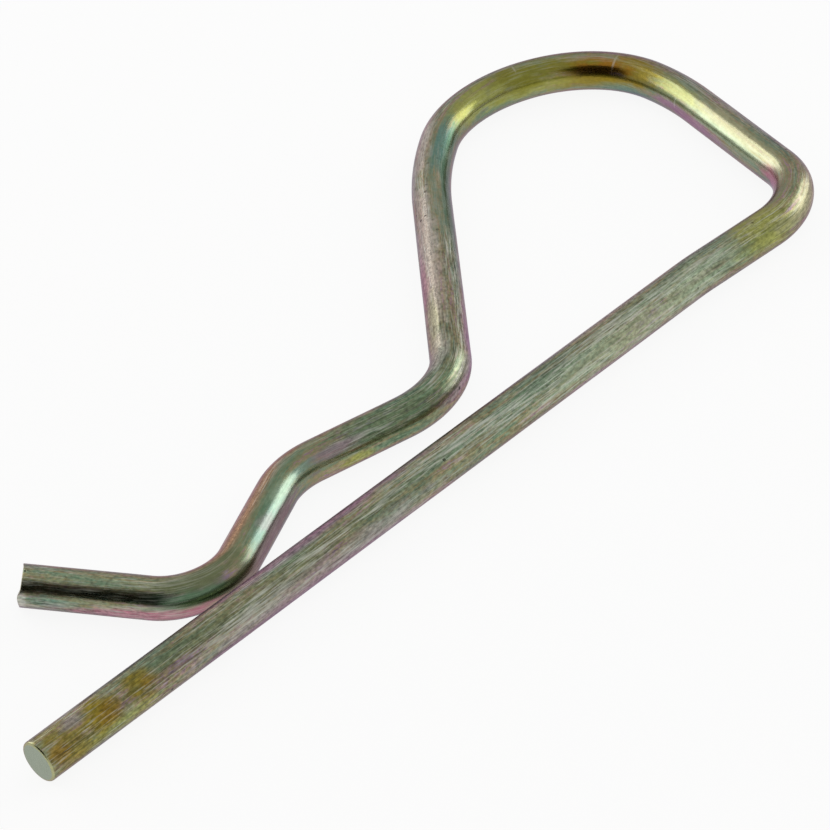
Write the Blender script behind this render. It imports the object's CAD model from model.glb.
"""A hitch R clip pin: one spring steel wire, plated and chromated, bent into a leg, a loop and a wavy arm.

The clip lies flat. X runs along the leg from its free end to the loop, Y from the leg to the arm, Z up, and
the origin is on the axis of the hitch pin that the clip would hold. Sizes are in millimetres and angles in
degrees, unless a name says otherwise. "Along" is the distance along the wire from the free end of the leg,
and an angle round the wire counts from its left side, seen in the direction in which it runs, to its top.
"""

import logging
import math
from dataclasses import dataclass, field, replace
from enum import Enum

import bpy
from mathutils import Matrix, Vector


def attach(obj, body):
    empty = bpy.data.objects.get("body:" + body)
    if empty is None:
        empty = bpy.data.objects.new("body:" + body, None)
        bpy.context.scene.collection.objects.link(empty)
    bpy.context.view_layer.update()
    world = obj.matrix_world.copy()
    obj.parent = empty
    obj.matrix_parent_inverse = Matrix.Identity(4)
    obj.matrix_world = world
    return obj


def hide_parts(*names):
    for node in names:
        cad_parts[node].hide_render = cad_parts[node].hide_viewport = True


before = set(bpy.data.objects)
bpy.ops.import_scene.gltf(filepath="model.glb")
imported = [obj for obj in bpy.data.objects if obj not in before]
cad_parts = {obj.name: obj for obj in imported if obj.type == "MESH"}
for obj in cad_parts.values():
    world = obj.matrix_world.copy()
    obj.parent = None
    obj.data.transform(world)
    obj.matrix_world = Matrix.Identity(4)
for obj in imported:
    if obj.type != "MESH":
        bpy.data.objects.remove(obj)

MM = 0.001

# The skin's points carry their place on the straightened wire: along it, to its left and above it, in metres
SHEET_ATTRIBUTE = "straightened"

# Most of a noise's values lie between these two
NOISE_LOW = 0.3
NOISE_HIGH = 0.7

# A noise's offset shifts it by these shares of itself, along the wire and across it
OFFSET_SHARES = (1.0, 1.7, 2.3)

# How far from its middle a patch starts to show, and how far out it is full, as shares of its size
PATCH_FAINT = 1.3
PATCH_FULL = 0.45

# The inputs of the wire's tree that say how deep its relief is
RELIEF_INPUTS = ("Swell Depth", "Groove Depth")

Tree = bpy.types.NodeTree

# What a node's input is linked to: a socket, or a node, which stands for its first output
Source = bpy.types.Node | bpy.types.NodeSocket

log = logging.getLogger("clip")


def add(
    tree: Tree, kind: str, inputs: dict[str | int, object] | None = None, **settings: object
) -> bpy.types.Node:
    """Adds one node.

    Args:
        tree: The tree that gets the node.
        kind: The node's type.
        inputs: What goes into its sockets, by name or number: a value, or a node or a socket to link.
        settings: The node's own settings.

    Returns:
        The node.
    """
    node = tree.nodes.new(kind)
    for name, value in settings.items():
        setattr(node, name, value)
    for key, value in (inputs or {}).items():
        source = value.outputs[0] if isinstance(value, bpy.types.Node) else value
        if isinstance(source, bpy.types.NodeSocket):
            tree.links.new(source, node.inputs[key])
        else:
            node.inputs[key].default_value = source
    return node


def emptied(owner: bpy.types.Material | bpy.types.World) -> Tree:
    """Turns on the nodes of a new material or world and clears them.

    Args:
        owner: The material or the world.

    Returns:
        Its empty tree.
    """
    owner.use_nodes = True
    owner.node_tree.nodes.clear()
    return owner.node_tree


def linear(colour: str) -> tuple[float, float, float, float]:
    """Turns an sRGB colour to linear light, by the curve of the sRGB standard.

    Args:
        colour: The colour as six hex digits after a hash.

    Returns:
        Red, green, blue and an alpha of 1.
    """
    parts = [int(colour[i : i + 2], 16) / 255 for i in (1, 3, 5)]
    red, green, blue = (c / 12.92 if c <= 0.04045 else ((c + 0.055) / 1.055) ** 2.4 for c in parts)
    return red, green, blue, 1.0


def direction(azimuth: float, elevation: float) -> Vector:
    """The unit vector that points a way.

    Args:
        azimuth: Degrees from +Y towards +X.
        elevation: Degrees above the floor.

    Returns:
        The vector.
    """
    turn = math.radians(azimuth)
    rise = math.radians(elevation)
    return Vector((math.sin(turn) * math.cos(rise), math.cos(turn) * math.cos(rise), math.sin(rise)))


class Side(Enum):
    """The side to which a bend turns, seen along the wire."""

    LEFT = 1
    RIGHT = -1


@dataclass(frozen=True)
class Bend:
    """A straight run of wire and the bend after it."""

    straight: float
    side: Side
    angle: float
    inside_radius: float


@dataclass(frozen=True)
class Station:
    """One ring of the skin: its middle, its heading in radians, its place along the wire and its radius."""

    x: float
    y: float
    heading: float
    along: float
    reach: float


@dataclass(frozen=True)
class Lip:
    """A lip that a cropping blade drew out, or a dip: its middle and half width in radii, and its height."""

    middle: float
    half_width: float
    height: float


@dataclass(frozen=True)
class Noise:
    """A noise whose marks are drawn out along the wire.

    The detail is how many finer sizes it adds, and the offset keeps one noise from repeating another.
    """

    length: float
    width: float
    detail: float = 2.0
    offset: float = 0.0

    @property
    def scale(self) -> tuple[float, float, float]:
        """How many marks there are to a metre, along the wire and across it."""
        return 1 / (self.length * MM), 1 / (self.width * MM), 1 / (self.width * MM)

    def draw(self, tree: Tree, place: Source) -> Source:
        """Adds the noise to a material.

        Args:
            tree: The material's tree.
            place: The straightened coordinates.

        Returns:
            The noise's value.
        """
        shift = tuple(self.offset * share for share in OFFSET_SHARES)
        scaled = add(tree, "ShaderNodeMapping", {"Vector": place, "Location": shift, "Scale": self.scale})
        return add(tree, "ShaderNodeTexNoise", {"Vector": scaled, "Scale": 1.0, "Detail": self.detail})


@dataclass(frozen=True)
class Marks:
    """Fine lengthwise marks that show where a noise is high, and crowd where a wider one is high too.

    A mark shows above the start and is full after the rise. The wider noise is a few marks long and wide, and
    it lifts or lowers the fine one by up to the crowding.
    """

    colour: str
    fine: Noise
    strength: float
    start: float = 0.51
    rise: float = 0.28
    crowding: float = 0.13
    crowd_length: float = 8.0
    crowd_width: float = 12.0

    def draw(self, tree: Tree, place: Source, rest: Source) -> Source:
        """Adds the marks to a material.

        Args:
            tree: The material's tree.
            place: The straightened coordinates.
            rest: How much of the surface's marks is left.

        Returns:
            How much of a mark there is at a point.
        """
        length = self.fine.length * self.crowd_length
        width = self.fine.width * self.crowd_width
        wide = Noise(length, width, detail=1.0, offset=self.fine.offset + 1.0).draw(tree, place)
        swing = {1: NOISE_LOW, 2: NOISE_HIGH, 3: -self.crowding, 4: self.crowding}
        crowd = add(tree, "ShaderNodeMapRange", {0: wide, **swing})
        lifted = add(tree, "ShaderNodeMath", {0: self.fine.draw(tree, place), 1: crowd}, operation="ADD")
        shown = {1: self.start, 2: self.start + self.rise, 3: 0.0, 4: self.strength}
        share = add(tree, "ShaderNodeMapRange", {0: lifted, **shown})
        return add(tree, "ShaderNodeMath", {0: share, 1: rest}, operation="MULTIPLY")


@dataclass(frozen=True)
class Patch:
    """A place on the wire: its middle, its reach along the wire, its spread round it and its strength."""

    along: float
    turn: float
    reach: float
    spread: float
    strength: float

    def draw(self, tree: Tree, place: Source, border: Source | float = 0.0) -> Source:
        """Adds the patch to a material.

        Args:
            tree: The material's tree.
            place: The straightened coordinates.
            border: How far its border is moved, as a share of its size.

        Returns:
            How much of the patch there is at a point.
        """
        radius = BentWire.diameter / 2
        turn = math.radians(self.turn)
        centre = Vector((self.along, radius * math.cos(turn), radius * math.sin(turn))) * MM
        across = 2 * radius * math.sin(math.radians(self.spread) / 4) * MM
        size = Vector((self.reach * MM, across, across))
        shift = tuple(-c / s for c, s in zip(centre, size))
        scale = tuple(1 / s for s in size)
        local = add(tree, "ShaderNodeMapping", {"Vector": place, "Location": shift, "Scale": scale})
        distance = add(tree, "ShaderNodeVectorMath", {0: local}, operation="LENGTH").outputs["Value"]
        ragged = add(tree, "ShaderNodeMath", {0: distance, 1: border}, operation="ADD")
        fade = {1: PATCH_FAINT, 2: PATCH_FULL, 3: 0.0, 4: self.strength}
        return add(tree, "ShaderNodeMapRange", {0: ragged, **fade}, interpolation_type="SMOOTHSTEP")


class Film(Enum):
    """The colours that the chromate film takes where it is thicker or thinner than round it."""

    GOLD = "#8c7c2a"
    AMBER = "#96691d"
    OLIVE_GOLD = "#7d7a2b"
    YELLOW_GREEN = "#9b9d54"
    PALE_YELLOW = "#a8a684"
    PALE_GREEN = "#a0ae92"
    PALE_TEAL = "#839d91"
    TEAL = "#5d8880"
    DEEP_GREEN = "#5a7a5e"
    MAUVE = "#9c7890"
    GREY_MAUVE = "#958b8a"
    PINK = "#ac6e80"
    COPPER = "#b08568"
    PALE_PINK = "#c0b2a8"
    OLIVE = "#6a7152"
    DUSK = "#6c6158"
    BARE_ZINC = "#d2d3ca"


@dataclass(frozen=True)
class Stain(Patch):
    """A patch where the film has a colour of its own."""

    film: Film


@dataclass(frozen=True)
class ChromatedZinc:
    """Drawn spring steel wire, barrel zinc plated and dipped in yellow chromate.

    The film is thinner than a wavelength of light, so the eye sees grey olive that drifts to gold, copper,
    mauve and teal in clouds and lengthwise streaks. The plating rubs pale on the high lines that the drawing
    die left and darkens between them. Dirt from the barrel sits in pits, most of them on the arm's back, and
    three thin scratches cross the wire. The gloss is that of satin metal, and the rims lean to mauve.

    Real die lines are some hundredths of a millimetre wide, the streaks are a little wider and the plating's
    crystals are smaller still. All are drawn a few times coarser here, because they wouldn't show otherwise.
    """

    film_colours: tuple[tuple[float, str], ...] = (
        (0.00, "#6e866b"),
        (0.22, "#7a8a72"),
        (0.42, "#868a6c"),
        (0.56, "#8b8a68"),
        (0.70, "#96896a"),
        (0.84, "#98827c"),
        (1.00, "#907c8c"),
    )
    film_middle: float = 0.45
    clouds: Noise = Noise(length=14.0, width=3.0)
    cloud_depth: float = 1.5
    streaks: Noise = Noise(length=11.0, width=0.55, offset=2.0)
    streak_depth: float = 1.5
    specks: Noise = Noise(length=0.7, width=0.2, offset=7.0)
    speck_depth: float = 1.0

    crystals: Noise = Noise(length=0.544, width=0.34, offset=37.0)
    crystal_low: float = 0.25
    crystal_high: float = 0.75
    crystal_contrast: float = 0.42
    rubbed: Marks = Marks("#cccec2", Noise(length=3.0, width=0.18, detail=3.0, offset=9.0), strength=0.74)
    rubbed_roughness: float = 0.5
    dull: Marks = Marks("#33382a", Noise(length=3.6, width=0.22, detail=3.0, offset=3.0), strength=0.58)

    # The pits lie in cells of the spacing. A cell has a pit where its random value, from 0 to 1, is above the
    # rarity, which falls in clusters. A pit's edge fades between two distances, as shares of the spacing
    pit_colour: str = "#2c2d22"
    pit_strength: float = 0.8
    pit_spacing: float = 1.3
    pit_outline: Noise = Noise(length=0.4, width=0.4, detail=1.0, offset=17.0)
    pit_raggedness: float = 0.25
    pit_faint: float = 0.33
    pit_full: float = 0.25
    pit_clusters: Noise = Noise(length=9.0, width=5.0, detail=1.0, offset=21.0)
    cluster_low: float = 0.45
    cluster_high: float = 0.7
    rarity: float = 0.985
    cluster_rarity: float = 0.85
    pitted: Patch = Patch(along=213.0, turn=122, reach=9.0, spread=96, strength=0.8)

    cut_colour: str = "#9fb09a"
    cut_strength: float = 0.9
    cut_edge_colour: str = "#b9bb8c"
    cut_edge_strength: float = 0.7
    cut_edge_width: float = 0.34
    cut_blend: float = 0.06
    cut_margin: float = 0.01

    rim_colour: str = "#d2bfd4"
    roughness: float = 0.27
    roughness_change: float = 0.10

    # The bump's heights count in grain depths
    grain_depth: float = 0.007
    streak_height: float = 1.2
    rubbed_height: float = 0.5
    pit_height: float = -2.0

    # The bending rolls smoothed these runs, but less on the outside of the loop
    smooth_runs: tuple[tuple[float, float], ...] = ((106.0, 222.0), (262.0, 298.0))
    smooth_fade: float = 6.0
    smooth_keeps: float = 0.3
    outside_keeps: float = 0.8
    outside_from: float = 0.9
    outside_to: float = -0.7
    rolled_gloss: float = 0.87

    blotches: Noise = Noise(length=2.2, width=1.1, detail=3.0, offset=29.0)
    blotch_weight: float = 1.4
    stains: tuple[Stain, ...] = (
        Stain(along=3.0, turn=145, reach=3.4, spread=170, strength=0.75, film=Film.GOLD),
        Stain(along=8.0, turn=132, reach=2.6, spread=110, strength=0.95, film=Film.GOLD),
        Stain(along=13.6, turn=134, reach=2.2, spread=96, strength=0.95, film=Film.GOLD),
        Stain(along=4.8, turn=104, reach=1.8, spread=44, strength=0.75, film=Film.GREY_MAUVE),
        Stain(along=1.6, turn=150, reach=1.4, spread=70, strength=0.4, film=Film.AMBER),
        Stain(along=14.6, turn=134, reach=1.2, spread=40, strength=0.4, film=Film.AMBER),
        Stain(along=9.0, turn=138, reach=1.8, spread=60, strength=0.4, film=Film.AMBER),
        Stain(along=11.0, turn=196, reach=6.0, spread=50, strength=0.6, film=Film.YELLOW_GREEN),
        Stain(along=38.0, turn=208, reach=19.0, spread=60, strength=0.6, film=Film.MAUVE),
        Stain(along=42.0, turn=70, reach=17.0, spread=56, strength=0.65, film=Film.MAUVE),
        Stain(along=38.0, turn=180, reach=20.0, spread=70, strength=0.6, film=Film.GREY_MAUVE),
        Stain(along=34.0, turn=124, reach=24.0, spread=46, strength=0.6, film=Film.OLIVE),
        Stain(along=92.0, turn=60, reach=17.0, spread=46, strength=0.4, film=Film.PALE_PINK),
        Stain(along=88.0, turn=152, reach=12.0, spread=120, strength=0.5, film=Film.PALE_GREEN),
        Stain(along=102.0, turn=145, reach=8.0, spread=110, strength=0.65, film=Film.PALE_GREEN),
        Stain(along=114.0, turn=130, reach=5.0, spread=180, strength=0.85, film=Film.YELLOW_GREEN),
        Stain(along=122.0, turn=160, reach=6.0, spread=80, strength=0.8, film=Film.PALE_YELLOW),
        Stain(along=126.5, turn=26, reach=4.5, spread=45, strength=0.85, film=Film.PINK),
        Stain(along=147.0, turn=0, reach=10.0, spread=42, strength=0.8, film=Film.MAUVE),
        Stain(along=138.0, turn=58, reach=13.0, spread=60, strength=0.8, film=Film.PALE_YELLOW),
        Stain(along=143.0, turn=30, reach=14.0, spread=30, strength=0.7, film=Film.PALE_GREEN),
        Stain(along=152.0, turn=55, reach=6.0, spread=60, strength=0.5, film=Film.YELLOW_GREEN),
        Stain(along=160.0, turn=55, reach=5.0, spread=110, strength=0.9, film=Film.GOLD),
        Stain(along=167.0, turn=40, reach=6.5, spread=86, strength=0.95, film=Film.AMBER),
        Stain(along=168.0, turn=4, reach=7.0, spread=56, strength=0.85, film=Film.GOLD),
        Stain(along=177.0, turn=6, reach=7.5, spread=56, strength=0.8, film=Film.YELLOW_GREEN),
        Stain(along=177.0, turn=50, reach=9.0, spread=100, strength=0.9, film=Film.OLIVE_GOLD),
        Stain(along=187.0, turn=42, reach=6.5, spread=90, strength=0.9, film=Film.YELLOW_GREEN),
        Stain(along=161.0, turn=-22, reach=6.0, spread=40, strength=0.5, film=Film.TEAL),
        Stain(along=198.0, turn=55, reach=7.0, spread=60, strength=0.7, film=Film.TEAL),
        Stain(along=209.0, turn=32, reach=18.0, spread=54, strength=0.95, film=Film.DEEP_GREEN),
        Stain(along=198.0, turn=118, reach=7.0, spread=60, strength=0.55, film=Film.PALE_PINK),
        Stain(along=224.0, turn=118, reach=18.0, spread=84, strength=0.7, film=Film.PALE_PINK),
        Stain(along=229.0, turn=148, reach=6.0, spread=50, strength=0.5, film=Film.PINK),
        Stain(along=238.0, turn=128, reach=7.0, spread=50, strength=0.75, film=Film.PALE_YELLOW),
        Stain(along=242.0, turn=14, reach=10.0, spread=52, strength=0.75, film=Film.MAUVE),
        Stain(along=244.0, turn=110, reach=5.0, spread=60, strength=0.4, film=Film.PALE_PINK),
        Stain(along=246.0, turn=34, reach=5.0, spread=50, strength=0.6, film=Film.PALE_GREEN),
        Stain(along=257.0, turn=55, reach=10.0, spread=110, strength=0.65, film=Film.DEEP_GREEN),
        Stain(along=265.0, turn=40, reach=3.4, spread=40, strength=0.55, film=Film.MAUVE),
        Stain(along=263.0, turn=-15, reach=2.6, spread=40, strength=0.8, film=Film.YELLOW_GREEN),
        Stain(along=280.0, turn=114, reach=15.0, spread=60, strength=0.7, film=Film.COPPER),
        Stain(along=278.0, turn=72, reach=12.0, spread=44, strength=0.4, film=Film.DEEP_GREEN),
        Stain(along=279.0, turn=42, reach=10.0, spread=40, strength=0.8, film=Film.PALE_TEAL),
        Stain(along=281.0, turn=10, reach=11.0, spread=34, strength=0.65, film=Film.MAUVE),
        Stain(along=283.0, turn=8, reach=14.0, spread=50, strength=0.6, film=Film.DUSK),
        Stain(along=292.5, turn=58, reach=7.0, spread=90, strength=0.95, film=Film.OLIVE),
        Stain(along=294.0, turn=24, reach=5.0, spread=54, strength=0.9, film=Film.DEEP_GREEN),
        Stain(along=275.0, turn=52, reach=3.4, spread=44, strength=0.4, film=Film.PALE_GREEN),
        Stain(along=281.0, turn=48, reach=1.8, spread=44, strength=0.5, film=Film.GREY_MAUVE),
        Stain(along=299.0, turn=-14, reach=9.0, spread=46, strength=0.9, film=Film.PINK),
        Stain(along=309.0, turn=4, reach=5.0, spread=40, strength=0.5, film=Film.TEAL),
        Stain(along=313.4, turn=0, reach=0.8, spread=80, strength=0.6, film=Film.BARE_ZINC),
    )
    scratches: tuple[Patch, ...] = (
        Patch(along=163.9, turn=62, reach=0.2, spread=66, strength=0.3),
        Patch(along=178.0, turn=84, reach=0.16, spread=44, strength=0.3),
        Patch(along=151.0, turn=20, reach=0.2, spread=30, strength=0.35),
    )

    def make(self) -> bpy.types.Material:
        """Builds the material.

        Returns:
            The material, which reads the straightened wire's own coordinates.
        """
        material = bpy.data.materials.new("yellow_chromated_zinc_on_drawn_wire")
        tree = emptied(material)
        place = add(tree, "ShaderNodeAttribute", attribute_name=SHEET_ATTRIBUTE).outputs["Vector"]
        streaks = self.streaks.draw(tree, place)
        specks = self.specks.draw(tree, place)
        rest = self.unpolished(tree, place)
        colour = self.filmed(tree, self.clouds.draw(tree, place), streaks, specks)
        colour = self.stained(tree, place, colour, streaks)
        colour = self.grained(tree, place, colour, rest)
        dull = self.dull.draw(tree, place, rest)
        bright = self.rubbed.draw(tree, place, rest)
        for scratch in self.scratches:
            crossing = scratch.draw(tree, place)
            bright = add(tree, "ShaderNodeMath", {0: crossing, 1: bright}, operation="MAXIMUM")
        pits = self.pits(tree, place, rest)
        edge, face = self.cut(tree, place)
        layers = (
            (dull, self.dull.colour),
            (bright, self.rubbed.colour),
            (pits, self.pit_colour),
            (edge, self.cut_edge_colour),
            (face, self.cut_colour),
        )
        for share, over in layers:
            mixed = add(tree, "ShaderNodeMix", {0: share, 6: colour, 7: linear(over)}, data_type="RGBA")
            colour = mixed.outputs[2]
        looks = {
            "Base Color": colour,
            "Metallic": 1.0,
            "Roughness": self.satin(tree, streaks, rest, bright),
            "Specular Tint": linear(self.rim_colour),
            "Normal": self.grain(tree, streaks, specks, bright, pits),
        }
        shader = add(tree, "ShaderNodeBsdfPrincipled", looks)
        add(tree, "ShaderNodeOutputMaterial", {0: shader})
        return material

    def unpolished(self, tree: Tree, place: Source) -> Source:
        """Finds where the surface keeps its marks and where the bending rolls smoothed them.

        Args:
            tree: The material's tree.
            place: The straightened coordinates.

        Returns:
            How much of the marks is left at a point.
        """
        along, left, _ = add(tree, "ShaderNodeSeparateXYZ", {0: place}).outputs
        kept: Source | float = 1.0
        for start, end in self.smooth_runs:
            middle = (start + end) / 2
            half = (end - start) / 2
            off = add(tree, "ShaderNodeMath", {0: along, 1: middle * MM}, operation="SUBTRACT")
            far = add(tree, "ShaderNodeMath", {0: off}, operation="ABSOLUTE")
            fade = {1: (half - self.smooth_fade) * MM, 2: half * MM, 3: self.smooth_keeps, 4: 1.0}
            run = add(tree, "ShaderNodeMapRange", {0: far, **fade}, interpolation_type="SMOOTHSTEP")
            kept = add(tree, "ShaderNodeMath", {0: run, 1: kept}, operation="MULTIPLY")
        fade = {1: self.outside_from * MM, 2: self.outside_to * MM, 3: 0.0, 4: self.outside_keeps}
        outside = add(tree, "ShaderNodeMapRange", {0: left, **fade}, interpolation_type="SMOOTHSTEP")
        return add(tree, "ShaderNodeMath", {0: outside, 1: kept}, operation="MAXIMUM")

    def filmed(self, tree: Tree, clouds: Source, streaks: Source, specks: Source) -> Source:
        """Adds up the film's thickness and turns it to the colour that the eye sees.

        Args:
            tree: The material's tree.
            clouds: The wide noise.
            streaks: The narrow noise.
            specks: The fine noise.

        Returns:
            The colour.
        """
        depths = ((clouds, self.cloud_depth), (streaks, self.streak_depth), (specks, self.speck_depth))
        total: Source | float = self.film_middle - sum(depth for _, depth in depths) / 2
        for noise, depth in depths:
            total = add(tree, "ShaderNodeMath", {0: noise, 1: depth, 2: total}, operation="MULTIPLY_ADD")
        ramp = add(tree, "ShaderNodeValToRGB", {0: total})
        elements = ramp.color_ramp.elements
        while len(elements) < len(self.film_colours):
            elements.new(1.0)
        for element, (position, colour) in zip(elements, self.film_colours):
            element.position = position
            element.color = linear(colour)
        return ramp

    def stained(self, tree: Tree, place: Source, colour: Source, streaks: Source) -> Source:
        """Lays the stains over the film's colour, with streaky borders.

        Args:
            tree: The material's tree.
            place: The straightened coordinates.
            colour: The film's colour.
            streaks: The narrow noise.

        Returns:
            The stained colour.
        """
        blotches = self.blotches.draw(tree, place)
        weighed = {0: blotches, 1: self.blotch_weight, 2: streaks}
        both = add(tree, "ShaderNodeMath", weighed, operation="MULTIPLY_ADD")
        average = (self.blotch_weight + 1) / 2
        border = add(tree, "ShaderNodeMath", {0: both, 1: average}, operation="SUBTRACT")
        for stain in self.stains:
            parts = {0: stain.draw(tree, place, border), 6: colour, 7: linear(stain.film.value)}
            colour = add(tree, "ShaderNodeMix", parts, data_type="RGBA").outputs[2]
        return colour

    def grained(self, tree: Tree, place: Source, colour: Source, rest: Source) -> Source:
        """Makes the colour lighter and darker with the plating's crystals.

        Args:
            tree: The material's tree.
            place: The straightened coordinates.
            colour: The film's colour.
            rest: How much of the surface's marks is left.

        Returns:
            The grained colour.
        """
        crystals = self.crystals.draw(tree, place)
        contrast = self.crystal_contrast
        change = {1: self.crystal_low, 2: self.crystal_high, 3: -contrast, 4: contrast}
        swing = add(tree, "ShaderNodeMapRange", {0: crystals, **change})
        level = add(tree, "ShaderNodeMath", {0: swing, 1: rest, 2: 1.0}, operation="MULTIPLY_ADD")
        return add(tree, "ShaderNodeVectorMath", {0: colour, "Scale": level}, operation="SCALE")

    def pits(self, tree: Tree, place: Source, rest: Source) -> Source:
        """Adds the dark pits, most of them in clusters and on the pitted place.

        Args:
            tree: The material's tree.
            place: The straightened coordinates.
            rest: How much of the surface's marks is left.

        Returns:
            How much of a pit there is at a point.
        """
        spread = {"Vector": place, "Scale": 1 / (self.pit_spacing * MM), "Randomness": 1.0}
        cells = add(tree, "ShaderNodeTexVoronoi", spread).outputs
        outline = self.pit_outline.draw(tree, place)
        bent = {0: outline, 1: self.pit_raggedness, 2: cells["Distance"]}
        ragged = add(tree, "ShaderNodeMath", bent, operation="MULTIPLY_ADD")
        fade = {1: self.pit_faint, 2: self.pit_full, 3: 0.0, 4: self.pit_strength}
        near = add(tree, "ShaderNodeMapRange", {0: ragged, **fade})
        chance = add(tree, "ShaderNodeSeparateColor", {0: cells["Color"]})
        clusters = self.pit_clusters.draw(tree, place)
        fall = {1: self.cluster_low, 2: self.cluster_high, 3: self.rarity, 4: self.cluster_rarity}
        rarity = add(tree, "ShaderNodeMapRange", {0: clusters, **fall})
        crowded = self.pitted.draw(tree, place)
        eased = add(tree, "ShaderNodeMath", {0: rarity, 1: crowded}, operation="SUBTRACT")
        chosen = add(tree, "ShaderNodeMath", {0: chance, 1: eased}, operation="GREATER_THAN")
        pit = add(tree, "ShaderNodeMath", {0: near, 1: chosen}, operation="MULTIPLY")
        return add(tree, "ShaderNodeMath", {0: pit, 1: rest}, operation="MULTIPLY")

    def cut(self, tree: Tree, place: Source) -> tuple[Source, Source]:
        """Finds the cropped faces of the wire and the bright edge round them.

        Args:
            tree: The material's tree.
            place: The straightened coordinates.

        Returns:
            How much of the edge and of the face there is at a point.
        """
        section = add(tree, "ShaderNodeVectorMath", {0: place, 1: (0.0, 1.0, 1.0)}, operation="MULTIPLY")
        reach = add(tree, "ShaderNodeVectorMath", {0: section}, operation="LENGTH").outputs["Value"]
        radius = BentWire.diameter / 2
        inner = radius - self.cut_edge_width
        ends = (
            (radius - self.cut_margin, radius - self.cut_blend, self.cut_edge_strength),
            (inner + self.cut_blend, inner, self.cut_strength),
        )
        edge, face = (
            add(tree, "ShaderNodeMapRange", {0: reach, 1: none * MM, 2: full * MM, 3: 0.0, 4: strength})
            for none, full, strength in ends
        )
        return edge, face

    def satin(self, tree: Tree, streaks: Source, rest: Source, rubbed: Source) -> Source:
        """Works out the roughness, which is lower where the rolls pressed and higher on the rubbed lines.

        Args:
            tree: The material's tree.
            streaks: The narrow noise.
            rest: How much of the surface's marks is left.
            rubbed: The pale high lines.

        Returns:
            The roughness.
        """
        half = self.roughness_change / 2
        change = {1: NOISE_LOW, 2: NOISE_HIGH, 3: self.roughness - half, 4: self.roughness + half}
        drawn = add(tree, "ShaderNodeMapRange", {0: streaks, **change})
        pressed = {1: self.smooth_keeps, 2: 1.0, 3: self.rolled_gloss, 4: 1.0}
        rolled = add(tree, "ShaderNodeMapRange", {0: rest, **pressed})
        rough = add(tree, "ShaderNodeMath", {0: drawn, 1: rolled}, operation="MULTIPLY")
        return add(tree, "ShaderNodeMix", {0: rubbed, 2: rough, 3: self.rubbed_roughness})

    def grain(self, tree: Tree, streaks: Source, specks: Source, rubbed: Source, pits: Source) -> Source:
        """Adds the fine bump: the plating's grain, the drawing lines, the rubbed lines and the pits.

        Args:
            tree: The material's tree.
            streaks: The narrow noise.
            specks: The fine noise.
            rubbed: The pale high lines.
            pits: The dark pits.

        Returns:
            The bumped normal.
        """
        height = specks
        layers = ((streaks, self.streak_height), (rubbed, self.rubbed_height), (pits, self.pit_height))
        for layer, rise in layers:
            height = add(tree, "ShaderNodeMath", {0: layer, 1: rise, 2: height}, operation="MULTIPLY_ADD")
        depth = {"Strength": 1.0, "Distance": self.grain_depth * MM, "Height": height}
        return add(tree, "ShaderNodeBump", depth)


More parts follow.
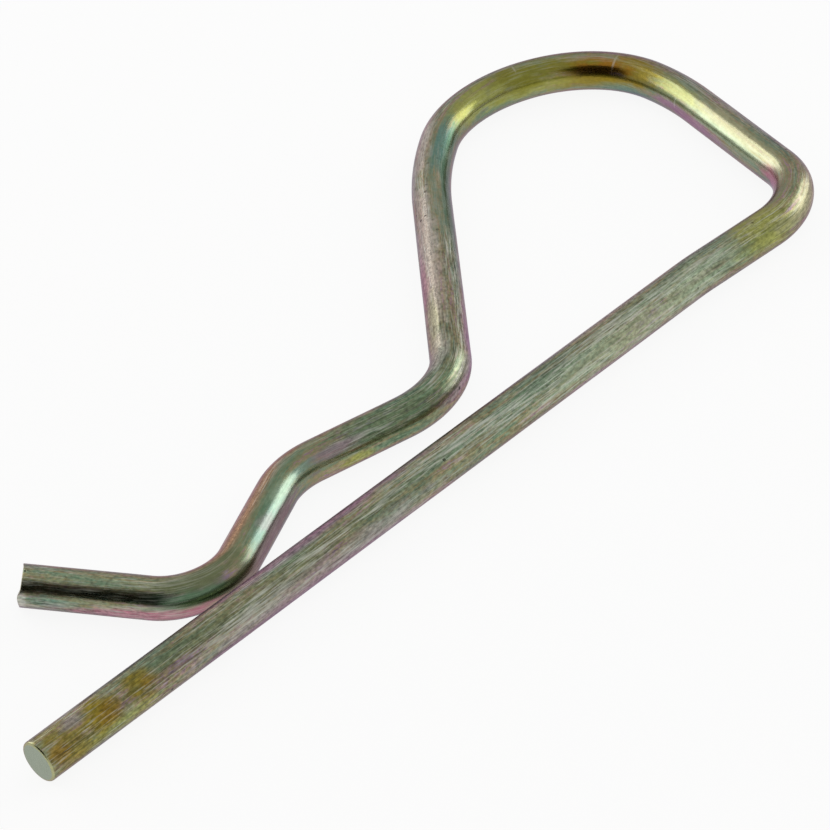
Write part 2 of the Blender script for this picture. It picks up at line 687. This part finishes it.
@dataclass
class BentWire:
    """The clip's one piece: a round wire, cropped at both ends and bent in one plane."""

    diameter: float = 5.0
    end_rim: float = 0.3
    tip_rim: float = 0.12

    leg_length: float = 102.0
    set_angle: float = 4.0
    set_radius: float = 37.5
    set_length: float = 11.0

    heel_angle: float = 77.0
    heel_radius: float = 8.0
    side_length: float = 19.5
    shoulder_angle: float = 13.0
    shoulder_radius: float = 37.5
    crown_angle: float = 128.0
    crown_radius: float = 13.5
    run_out_angle: float = 14.5
    run_out_radius: float = 52.5

    hitch_pin: float = 20.0
    seat_play: float = 0.9
    neck_gap: float = 4.8
    pinch_gap: float = 1.2
    neck_angle: float = 63.0
    neck_radius: float = 9.0
    seat_angle: float = 41.0
    seat_radius: float = 7.0
    pinch_angle: float = 91.5
    pinch_radius: float = 5.0
    tip_length: float = 16.0
    tip_lean: float = 27.5
    tip_lean_turn: float = 47.0

    # The lips lie along a line through the tip's face, turned so far from its left, and fade out over the run
    lip_turn: float = -50.0
    lip_run: float = 0.9
    lips: tuple[Lip, ...] = (Lip(0.52, 0.36, 0.24), Lip(1.0, 0.24, -0.2), Lip(-0.98, 0.12, 0.1))

    # The skin is only ever sunk, by a slight swell and by the die's grooves, wider here than real ones
    swell: Noise = Noise(length=9.0, width=2.4)
    swell_depth: float = 0.05
    grooves: Noise = Noise(length=14.0, width=0.5, offset=4.0)
    groove_depth: float = 0.018
    seed: int = 11

    # Rings of the skin: on a cropped face as shares of its radius, round a rim in steps, and along the wire,
    # where none lies nearer to a rim than the margin. Points closer than the merge distance become one
    end_face: tuple[float, ...] = (0.0, 0.3, 0.6, 0.85, 0.97)
    tip_face: tuple[float, ...] = (0.97, 0.88, 0.72, 0.5, 0.25, 0.0)
    end_rim_steps: int = 5
    tip_rim_steps: int = 4
    rim_margin: float = 0.15
    ring_spacing: float = 0.46
    sides: int = 128
    merge_distance: float = 0.0005
    finish: ChromatedZinc = field(default_factory=ChromatedZinc)

    @property
    def radius(self) -> float:
        """Radius of the wire."""
        return self.diameter / 2

    def arc(self, bend: Bend) -> float:
        """Length of the centre line in a bend."""
        return math.radians(bend.angle) * (bend.inside_radius + self.radius)

    def rise(self, inside_radius: float, start: float, end: float) -> float:
        """How far a bend to the left lifts the centre line, from one heading in radians to another."""
        return (inside_radius + self.radius) * (math.cos(start) - math.cos(end))

    def shares(self, length: float) -> list[float]:
        """Where the rings of a run of wire lie, as shares of its length."""
        rings = max(1, round(length / self.ring_spacing)) if length else 0
        return [ring / rings for ring in range(rings)]

    def loop(self) -> list[Bend]:
        """Lists the bends before the arm.

        Returns:
            The bends from the leg's free end to the arm's back.
        """
        return [
            Bend(self.leg_length, Side.RIGHT, self.set_angle, self.set_radius),
            Bend(self.set_length, Side.LEFT, self.heel_angle, self.heel_radius),
            Bend(self.side_length, Side.LEFT, self.shoulder_angle, self.shoulder_radius),
            Bend(0.0, Side.LEFT, self.crown_angle, self.crown_radius),
            Bend(0.0, Side.LEFT, self.run_out_angle, self.run_out_radius),
        ]

    def follow(self, bends: list[Bend]) -> tuple[Vector, float]:
        """Follows the centre line through bends from the leg's free end, along +X.

        Args:
            bends: The bends to follow.

        Returns:
            Where the line ends, and its heading there in radians.
        """
        at = Vector((0.0, 0.0))
        heading = 0.0
        for bend in bends:
            at += bend.straight * Vector((math.cos(heading), math.sin(heading)))
            after = heading + bend.side.value * math.radians(bend.angle)
            line_radius = bend.inside_radius + self.radius
            chord = Vector((math.sin(after) - math.sin(heading), math.cos(heading) - math.cos(after)))
            at += bend.side.value * line_radius * chord
            heading = after
        return at, heading

    def bends(self) -> tuple[list[Bend], float]:
        """Works out the whole bending table.

        Returns:
            The bends from the leg's free end to the tip, and the hitch pin's distance from that end.
        """
        loop = self.loop()
        reached, back = self.follow(loop)
        ramp = back - math.radians(self.neck_angle)
        drop = ramp + math.radians(self.seat_angle)
        neck_y = self.diameter + self.neck_gap
        seat_y = self.hitch_pin / 2 + self.seat_play + self.radius
        pinch_y = self.diameter + self.pinch_gap
        back_rise = neck_y - reached.y - self.rise(self.neck_radius, math.pi, back)
        ramp_rise = seat_y - neck_y + self.rise(self.neck_radius, math.pi, ramp)
        ramp_length = (ramp_rise - self.rise(self.seat_radius, ramp, math.pi)) / math.sin(ramp)
        drop_rise = pinch_y - seat_y + self.rise(self.pinch_radius, drop, math.pi)
        drop_length = (drop_rise - self.rise(self.seat_radius, math.pi, drop)) / math.sin(drop)
        neck = Bend(back_rise / math.sin(back), Side.RIGHT, self.neck_angle, self.neck_radius)
        seat = Bend(ramp_length, Side.LEFT, self.seat_angle, self.seat_radius)
        pinch = Bend(drop_length, Side.RIGHT, self.pinch_angle, self.pinch_radius)
        seat_top, _ = self.follow([*loop, neck, replace(seat, angle=180 - math.degrees(ramp))])
        return [*loop, neck, seat, pinch], seat_top.x

    def centre_line(self) -> list[Station]:
        """Lays out full rings over the whole wire.

        Returns:
            The rings, from the leg's free end to the end of the tip.
        """
        bends, seat_x = self.bends()
        line = []
        done: list[Bend] = []
        along = 0.0
        for bend in [*bends, Bend(self.tip_length, Side.LEFT, 0.0, 0.0)]:
            run_shares = self.shares(bend.straight)
            runs = [replace(bend, straight=bend.straight * share, angle=0.0) for share in run_shares]
            turns = [replace(bend, angle=bend.angle * share) for share in self.shares(self.arc(bend))]
            for part in runs + turns:
                at, heading = self.follow([*done, part])
                reached = along + part.straight + self.arc(part)
                line.append(Station(at.x - seat_x, at.y, heading, reached, self.radius))
            along += bend.straight + self.arc(bend)
            done.append(bend)
        end, heading = self.follow(done)
        line.append(Station(end.x - seat_x, end.y, heading, along, self.radius))
        return line

    def ring(self, line: list[Station], along: float, reach: float) -> Station:
        """Makes a ring on a straight run of wire, between two of the centre line's.

        Args:
            line: The centre line's rings.
            along: Distance along the wire.
            reach: The ring's radius.

        Returns:
            The ring.
        """
        before = [ring for ring in line[:-1] if ring.along <= along][-1]
        step = along - before.along
        x = before.x + step * math.cos(before.heading)
        y = before.y + step * math.sin(before.heading)
        return Station(x, y, before.heading, along, reach)

    def stations(self) -> list[Station]:
        """Lays out the rings of the wire's skin, with the cropped faces and their rims.

        Returns:
            The rings from the middle of the leg's end face to the middle of the tip's.
        """
        line = self.centre_line()
        length = line[-1].along
        rings = [self.ring(line, 0.0, (self.radius - self.end_rim) * share) for share in self.end_face]
        for step in range(self.end_rim_steps + 1):
            turn = math.pi / 2 * step / self.end_rim_steps
            run = self.end_rim * (1 - math.cos(turn))
            rings.append(self.ring(line, run, self.radius - self.end_rim * (1 - math.sin(turn))))
        first = self.end_rim + self.rim_margin
        last = length - self.tip_rim - self.rim_margin
        rings += [ring for ring in line if first < ring.along < last]
        for step in range(self.tip_rim_steps + 1):
            turn = math.pi / 2 * step / self.tip_rim_steps
            run = length - self.tip_rim * (1 - math.sin(turn))
            rings.append(self.ring(line, run, self.radius - self.tip_rim * (1 - math.cos(turn))))
        rings += [self.ring(line, length, (self.radius - self.tip_rim) * share) for share in self.tip_face]
        return rings

    def rail(self, stations: list[Station]) -> bpy.types.Object:
        """Makes the object that carries the rings' places as points.

        Args:
            stations: The rings.

        Returns:
            The object, whose points carry each ring's heading, distance along the wire and reach.
        """
        mesh = bpy.data.meshes.new("rail")
        points = [Vector((s.x, s.y, self.radius)) * MM for s in stations]
        mesh.from_pydata(points, [(i, i + 1) for i in range(len(points) - 1)], [])
        for name, scale in (("heading", 1.0), ("along", MM), ("reach", MM)):
            layer = mesh.attributes.new(name, "FLOAT", "POINT")
            layer.data.foreach_set("value", [getattr(s, name) * scale for s in stations])
        rail = bpy.data.objects.new("rail", mesh)
        bpy.context.scene.collection.objects.link(rail)
        return rail

    def sweep_tree(self) -> Tree:
        """Builds the tree that lays a round skin over the rings, with its relief and the crop of the tip.

        Returns:
            The geometry node tree.
        """
        tree = bpy.data.node_groups.new("wire_skin", "GeometryNodeTree")
        sockets = {
            "Geometry": ("Rail",),
            "Int": ("Rings", "Sides"),
            "Float": ("Radius", "Length", "Lean Run", "Tip Lean", "Tip Lean Turn", *RELIEF_INPUTS, "Seed"),
            "Material": ("Finish",),
        }
        for kind, names in sockets.items():
            for name in names:
                tree.interface.new_socket(name=name, in_out="INPUT", socket_type=f"NodeSocket{kind}")
        tree.interface.new_socket(name="Skin", in_out="OUTPUT", socket_type="NodeSocketGeometry")
        given = add(tree, "NodeGroupInput").outputs

        # The grid is a metre square round the origin: its X counts the rings and its Y the way round the wire
        more = add(tree, "ShaderNodeMath", {0: given["Sides"], 1: 1.0}, operation="ADD")
        size = {"Size X": 1.0, "Size Y": 1.0, "Vertices X": given["Rings"], "Vertices Y": more}
        grid = add(tree, "GeometryNodeMeshGrid", size)
        spot = add(tree, "ShaderNodeSeparateXYZ", {0: add(tree, "GeometryNodeInputPosition")})
        share = add(tree, "ShaderNodeMath", {0: spot.outputs["X"], 1: 0.5}, operation="ADD")
        last = add(tree, "ShaderNodeMath", {0: given["Rings"], 1: 1.0}, operation="SUBTRACT")
        number = add(tree, "ShaderNodeMath", {0: share, 1: last}, operation="MULTIPLY")
        ring = add(tree, "ShaderNodeMath", {0: number}, operation="ROUND")
        turned = add(tree, "ShaderNodeMath", {0: spot.outputs["Y"], 1: 0.5}, operation="ADD")
        turn = add(tree, "ShaderNodeMath", {0: turned, 1: math.tau}, operation="MULTIPLY")
        cosine = add(tree, "ShaderNodeMath", {0: turn}, operation="COSINE")
        sine = add(tree, "ShaderNodeMath", {0: turn}, operation="SINE")

        values = {"middle": (add(tree, "GeometryNodeInputPosition"), "FLOAT_VECTOR")}
        for name in ("heading", "along", "reach"):
            value = add(tree, "GeometryNodeInputNamedAttribute", {"Name": name}, data_type="FLOAT")
            values[name] = (value, "FLOAT")
        carried = {}
        for name, (value, kind) in values.items():
            sample = {"Geometry": given["Rail"], "Value": value, "Index": ring}
            carried[name] = add(tree, "GeometryNodeSampleIndex", sample, data_type=kind, domain="POINT")

        along = carried["along"]
        plain_left = add(tree, "ShaderNodeMath", {0: cosine, 1: carried["reach"]}, operation="MULTIPLY")
        plain_up = add(tree, "ShaderNodeMath", {0: sine, 1: carried["reach"]}, operation="MULTIPLY")
        straightened = add(tree, "ShaderNodeCombineXYZ", {0: along, 1: plain_left, 2: plain_up})
        reach = self.worn(tree, given, straightened, carried["reach"])
        left = add(tree, "ShaderNodeMath", {0: cosine, 1: reach}, operation="MULTIPLY")
        up = add(tree, "ShaderNodeMath", {0: sine, 1: reach}, operation="MULTIPLY")
        forward = self.cropped(tree, given, along, left, up)

        ahead_x = add(tree, "ShaderNodeMath", {0: carried["heading"]}, operation="COSINE")
        ahead_y = add(tree, "ShaderNodeMath", {0: carried["heading"]}, operation="SINE")
        left_x = add(tree, "ShaderNodeMath", {0: ahead_y, 1: -1.0}, operation="MULTIPLY")
        moves = ((forward, (ahead_x, ahead_y, 0.0)), (left, (left_x, ahead_x, 0.0)), (up, (0.0, 0.0, 1.0)))
        total = carried["middle"]
        for amount, axis in moves:
            way = add(tree, "ShaderNodeCombineXYZ", dict(enumerate(axis)))
            move = add(tree, "ShaderNodeVectorMath", {0: way, "Scale": amount}, operation="SCALE")
            total = add(tree, "ShaderNodeVectorMath", {0: total, 1: move}, operation="ADD")

        sheet = {"Geometry": grid, "Name": SHEET_ATTRIBUTE, "Value": straightened}
        stored = add(tree, "GeometryNodeStoreNamedAttribute", sheet, data_type="FLOAT_VECTOR", domain="POINT")
        placed = add(tree, "GeometryNodeSetPosition", {"Geometry": stored, "Position": total})
        merging = {"Geometry": placed, "Distance": self.merge_distance * MM}
        closed = add(tree, "GeometryNodeMergeByDistance", merging)
        outwards = add(tree, "GeometryNodeFlipFaces", {"Mesh": closed})
        smooth = add(tree, "GeometryNodeSetShadeSmooth", {"Geometry": outwards})
        real = add(tree, "GeometryNodeRealizeInstances", {"Geometry": smooth})
        dressed = add(tree, "GeometryNodeSetMaterial", {"Geometry": real, "Material": given["Finish"]})
        add(tree, "NodeGroupOutput", {0: dressed})
        return tree

    def worn(self, tree: Tree, given: bpy.types.NodeOutputs, place: Source, reach: Source) -> Source:
        """Sinks the skin by its swell and the die's grooves, and never lifts it.

        Args:
            tree: The sweep's tree.
            given: The tree's inputs.
            place: The straightened coordinates.
            reach: A ring's radius.

        Returns:
            How far a point is from the centre line.
        """
        sunk: Source | float = 0.0
        for noise, depth in zip((self.swell, self.grooves), RELIEF_INPUTS):
            scaled = add(tree, "ShaderNodeVectorMath", {0: place, 1: noise.scale}, operation="MULTIPLY")
            fourth = add(tree, "ShaderNodeMath", {0: given["Seed"], 1: noise.offset}, operation="ADD")
            inputs = {"Vector": scaled, "W": fourth, "Scale": 1.0, "Detail": noise.detail}
            value = add(tree, "ShaderNodeTexNoise", inputs, noise_dimensions="4D")
            sunk = add(tree, "ShaderNodeMath", {0: value, 1: given[depth], 2: sunk}, operation="MULTIPLY_ADD")
        ratio = add(tree, "ShaderNodeMath", {0: reach, 1: given["Radius"]}, operation="DIVIDE")
        kept = add(tree, "ShaderNodeMath", {0: sunk, 1: ratio}, operation="MULTIPLY")
        return add(tree, "ShaderNodeMath", {0: reach, 1: kept}, operation="SUBTRACT")

    def cropped(
        self, tree: Tree, given: bpy.types.NodeOutputs, along: Source, left: Source, up: Source
    ) -> Source:
        """Leans the tip's cropped end and draws out its lips, both fading out along the wire.

        Args:
            tree: The sweep's tree.
            given: The tree's inputs.
            along: Distance along the wire.
            left: A point's place to the left of the centre line.
            up: A point's place above the centre line.

        Returns:
            How far a point moves along the wire.
        """
        length = given["Length"]
        slope = add(tree, "ShaderNodeMath", {0: given["Tip Lean"]}, operation="TANGENT")
        cosine = add(tree, "ShaderNodeMath", {0: given["Tip Lean Turn"]}, operation="COSINE")
        sine = add(tree, "ShaderNodeMath", {0: given["Tip Lean Turn"]}, operation="SINE")
        first = add(tree, "ShaderNodeMath", {0: left, 1: cosine}, operation="MULTIPLY")
        across = add(tree, "ShaderNodeMath", {0: up, 1: sine, 2: first}, operation="MULTIPLY_ADD")
        start = add(tree, "ShaderNodeMath", {0: length, 1: given["Lean Run"]}, operation="SUBTRACT")
        fade = add(tree, "ShaderNodeMapRange", {0: along, 1: start, 2: length, 3: 0.0, 4: -1.0})
        whole = add(tree, "ShaderNodeMath", {0: across, 1: slope}, operation="MULTIPLY")
        moved = add(tree, "ShaderNodeMath", {0: whole, 1: fade}, operation="MULTIPLY")

        turn = math.radians(self.lip_turn)
        cosine = math.cos(turn) / (self.radius * MM)
        sine = math.sin(turn) / (self.radius * MM)
        first = add(tree, "ShaderNodeMath", {0: left, 1: cosine}, operation="MULTIPLY")
        across = add(tree, "ShaderNodeMath", {0: up, 1: sine, 2: first}, operation="MULTIPLY_ADD")
        start = add(tree, "ShaderNodeMath", {0: length, 1: self.lip_run * MM}, operation="SUBTRACT")
        ends = {0: along, 1: start, 2: length, 3: 0.0, 4: 1.0}
        fade = add(tree, "ShaderNodeMapRange", ends, interpolation_type="SMOOTHSTEP")
        for lip in self.lips:
            off = add(tree, "ShaderNodeMath", {0: across, 1: lip.middle}, operation="SUBTRACT")
            far = add(tree, "ShaderNodeMath", {0: off}, operation="ABSOLUTE")
            shape = {0: far, 1: lip.half_width, 2: 0.0, 3: 0.0, 4: lip.height * MM}
            height = add(tree, "ShaderNodeMapRange", shape, interpolation_type="SMOOTHSTEP")
            moved = add(tree, "ShaderNodeMath", {0: height, 1: fade, 2: moved}, operation="MULTIPLY_ADD")
        return moved

    def build(self) -> bpy.types.Object:
        """Builds the wire's skin and dresses it.

        Returns:
            The finished piece.
        """
        stations = self.stations()
        rail = self.rail(stations)
        modifier = rail.modifiers.new("wire_skin", "NODES")
        modifier.node_group = self.sweep_tree()
        values = {
            "Rings": len(stations),
            "Sides": self.sides,
            "Radius": self.radius * MM,
            "Length": stations[-1].along * MM,
            "Tip Lean": math.radians(self.tip_lean),
            "Tip Lean Turn": math.radians(self.tip_lean_turn),
            "Lean Run": self.diameter * MM,
            "Seed": float(self.seed),
            "Finish": self.finish.make(),
        }
        for name, depth in zip(RELIEF_INPUTS, (self.swell_depth, self.groove_depth)):
            values[name] = depth * MM
        for item in modifier.node_group.interface.items_tree:
            if item.name in values:
                modifier[item.identifier] = values[item.name]
        graph = bpy.context.evaluated_depsgraph_get()
        mesh = bpy.data.meshes.new_from_object(rail.evaluated_get(graph), depsgraph=graph)
        rail.modifiers.remove(modifier)
        bpy.data.objects.remove(rail)
        piece = bpy.data.objects.new("clip_wire_skin", mesh)
        bpy.context.scene.collection.objects.link(piece)
        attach(piece, "root")
        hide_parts("clip_wire")
        return piece


@dataclass(frozen=True)
class MattPaper:
    """Matt white background paper: it scatters light evenly, has no gloss and shows a soft shadow."""

    colour: str = "#f7f7f5"
    glow: float = 0.9

    def make(self) -> bpy.types.Material:
        """Builds the material.

        Returns:
            The material, which the camera and the metal see as near white, shadow kept.
        """
        material = bpy.data.materials.new("matt_white_paper")
        tree = emptied(material)
        paper = add(tree, "ShaderNodeBsdfDiffuse", {"Color": linear(self.colour)})
        white = add(tree, "ShaderNodeEmission", {"Color": (1.0, 1.0, 1.0, 1.0), "Strength": 1.0})
        path = add(tree, "ShaderNodeLightPath").outputs
        seen = path["Is Camera Ray"]
        for ray in ("Is Glossy Ray", "Is Transmission Ray"):
            seen = add(tree, "ShaderNodeMath", {0: seen, 1: path[ray]}, operation="MAXIMUM")
        share = add(tree, "ShaderNodeMath", {0: seen, 1: self.glow}, operation="MULTIPLY")
        mixed = add(tree, "ShaderNodeMixShader", {0: share, 1: paper, 2: white})
        add(tree, "ShaderNodeOutputMaterial", {0: mixed})
        return material


@dataclass(frozen=True)
class BlackFelt:
    """Black felt on a studio flag: it returns almost no light, so the metal shows a dark band there."""

    colour: str = "#101010"

    def make(self) -> bpy.types.Material:
        """Builds the material.

        Returns:
            The material, a dull near black.
        """
        material = bpy.data.materials.new("black_felt")
        tree = emptied(material)
        felt = add(tree, "ShaderNodeBsdfDiffuse", {"Color": linear(self.colour)})
        add(tree, "ShaderNodeOutputMaterial", {0: felt})
        return material


@dataclass(frozen=True)
class Panel:
    """A flat studio panel that faces the clip, with the way it stands in and the angles that it spans."""

    name: str
    azimuth: float
    elevation: float
    width: float
    height: float
    roll: float = 0.0
    distance_m: float = 0.9

    def matrix(self, target: Vector) -> Matrix:
        """The panel's place, with its back to the direction that it stands in.

        Args:
            target: The point that it faces.

        Returns:
            The matrix, whose -Z points at the target.
        """
        way = direction(self.azimuth, self.elevation)
        turn = way.to_track_quat("Z", "Y").to_matrix().to_4x4()
        rolled = turn @ Matrix.Rotation(math.radians(self.roll), 4, "Z")
        return Matrix.Translation(target + way * self.distance_m) @ rolled

    def size(self) -> tuple[float, float]:
        """The panel's width and height in metres."""
        return tuple(2 * self.distance_m * math.tan(math.radians(a / 2)) for a in (self.width, self.height))


@dataclass
class Studio:
    """The floor, the lamps, the dark flag and the camera.

    The panels stand where the metal mirrors them as the photograph's bright and dark bands.
    """

    floor_reach_m: float = 4.0
    world_level: float = 0.72
    softboxes: tuple[tuple[Panel, float], ...] = (
        (Panel("softbox_behind", azimuth=-6, elevation=27, width=41, height=24, roll=-32), 2.1),
        (Panel("softbox_right", azimuth=104, elevation=16, width=39, height=33), 1.95),
    )
    flags: tuple[Panel, ...] = (Panel("flag_left", azimuth=-87, elevation=29, width=58, height=62),)

    # The camera is the one that was fitted to the photograph together with the wire
    target: tuple[float, float, float] = (14.92, 9.29, 2.5)
    eye: tuple[float, float, float] = (-208.34, -276.46, 256.36)
    roll: float = 11.907
    lens: float = 167.9
    sensor: float = 36.0
    near_m: float = 0.01
    far_m: float = 20.0
    paper: MattPaper = field(default_factory=MattPaper)
    felt: BlackFelt = field(default_factory=BlackFelt)

    def build(self) -> None:
        """Builds the whole studio."""
        self.world()
        self.floor()
        for panel, level in self.softboxes:
            self.lamp(panel, level)
        for panel in self.flags:
            self.flag(panel)
        self.camera()

    def world(self) -> None:
        """Lights the clip evenly from all round."""
        world = bpy.data.worlds.new("pale_studio")
        tree = emptied(world)
        light = {"Color": (1.0, 1.0, 1.0, 1.0), "Strength": self.world_level}
        shade = add(tree, "ShaderNodeBackground", light)
        add(tree, "ShaderNodeOutputWorld", {0: shade})
        bpy.context.scene.world = world

    def sheet(self, name: str, width: float, height: float, matrix: Matrix) -> bpy.types.Object:
        """Makes a flat sheet and marks it as stage.

        Args:
            name: The sheet's name.
            width: Its width in metres.
            height: Its height in metres.
            matrix: Its place.

        Returns:
            The sheet.
        """
        signs = ((-1, -1), (1, -1), (1, 1), (-1, 1))
        points = [matrix @ Vector((x * width / 2, y * height / 2, 0)) for x, y in signs]
        mesh = bpy.data.meshes.new(name)
        mesh.from_pydata(points, [], [(0, 1, 2, 3)])
        sheet = bpy.data.objects.new(name, mesh)
        bpy.context.scene.collection.objects.link(sheet)
        return sheet

    def floor(self) -> None:
        """Lays the paper under the clip."""
        floor = self.sheet("floor", self.floor_reach_m, self.floor_reach_m, Matrix.Identity(4))
        floor.data.materials.append(self.paper.make())

    def flag(self, panel: Panel) -> None:
        """Stands a black flag, which the metal mirrors and the camera doesn't see.

        Args:
            panel: The flag's place and size.
        """
        width, height = panel.size()
        flag = self.sheet(panel.name, width, height, panel.matrix(Vector(self.target) * MM))
        flag.data.materials.append(self.felt.make())
        flag.visible_camera = False
        flag.visible_shadow = False

    def lamp(self, panel: Panel, level: float) -> None:
        """Hangs a softbox.

        Args:
            panel: The softbox's place and size.
            level: How bright its face is, where 1 is white.
        """
        width, height = panel.size()
        light = bpy.data.lights.new(panel.name, "AREA")
        light.shape = "RECTANGLE"
        light.size = width
        light.size_y = height
        light.energy = level * math.pi * width * height
        lamp = bpy.data.objects.new(panel.name, light)
        lamp.matrix_world = panel.matrix(Vector(self.target) * MM)
        lamp.visible_camera = False
        bpy.context.scene.collection.objects.link(lamp)

    def camera(self) -> None:
        """Places the camera."""
        data = bpy.data.cameras.new("camera")
        data.lens = self.lens
        data.sensor_width = self.sensor
        data.clip_start = self.near_m
        data.clip_end = self.far_m
        eye = Vector(self.eye) * MM
        forward = (Vector(self.target) * MM - eye).normalized()
        right = forward.cross(Vector((0, 0, 1))).normalized()
        up = right.cross(forward)
        roll = math.radians(self.roll)
        tilted = up * math.cos(roll) + right * math.sin(roll)
        turn = Matrix((forward.cross(tilted), tilted, -forward)).transposed().to_4x4()
        camera = bpy.data.objects.new("camera", data)
        camera.matrix_world = Matrix.Translation(eye) @ turn
        bpy.context.scene.collection.objects.link(camera)
        bpy.context.scene.camera = camera


def main() -> None:
    """Builds the studio and the clip."""
    logging.basicConfig(level=logging.INFO, format="%(name)s: %(message)s")
    bpy.context.scene.view_settings.view_transform = "Standard"
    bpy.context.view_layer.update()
    Studio().build()
    piece = BentWire().build()
    log.info("%s: %d faces", piece.name, len(piece.data.polygons))


if __name__ == "__main__":
    main()
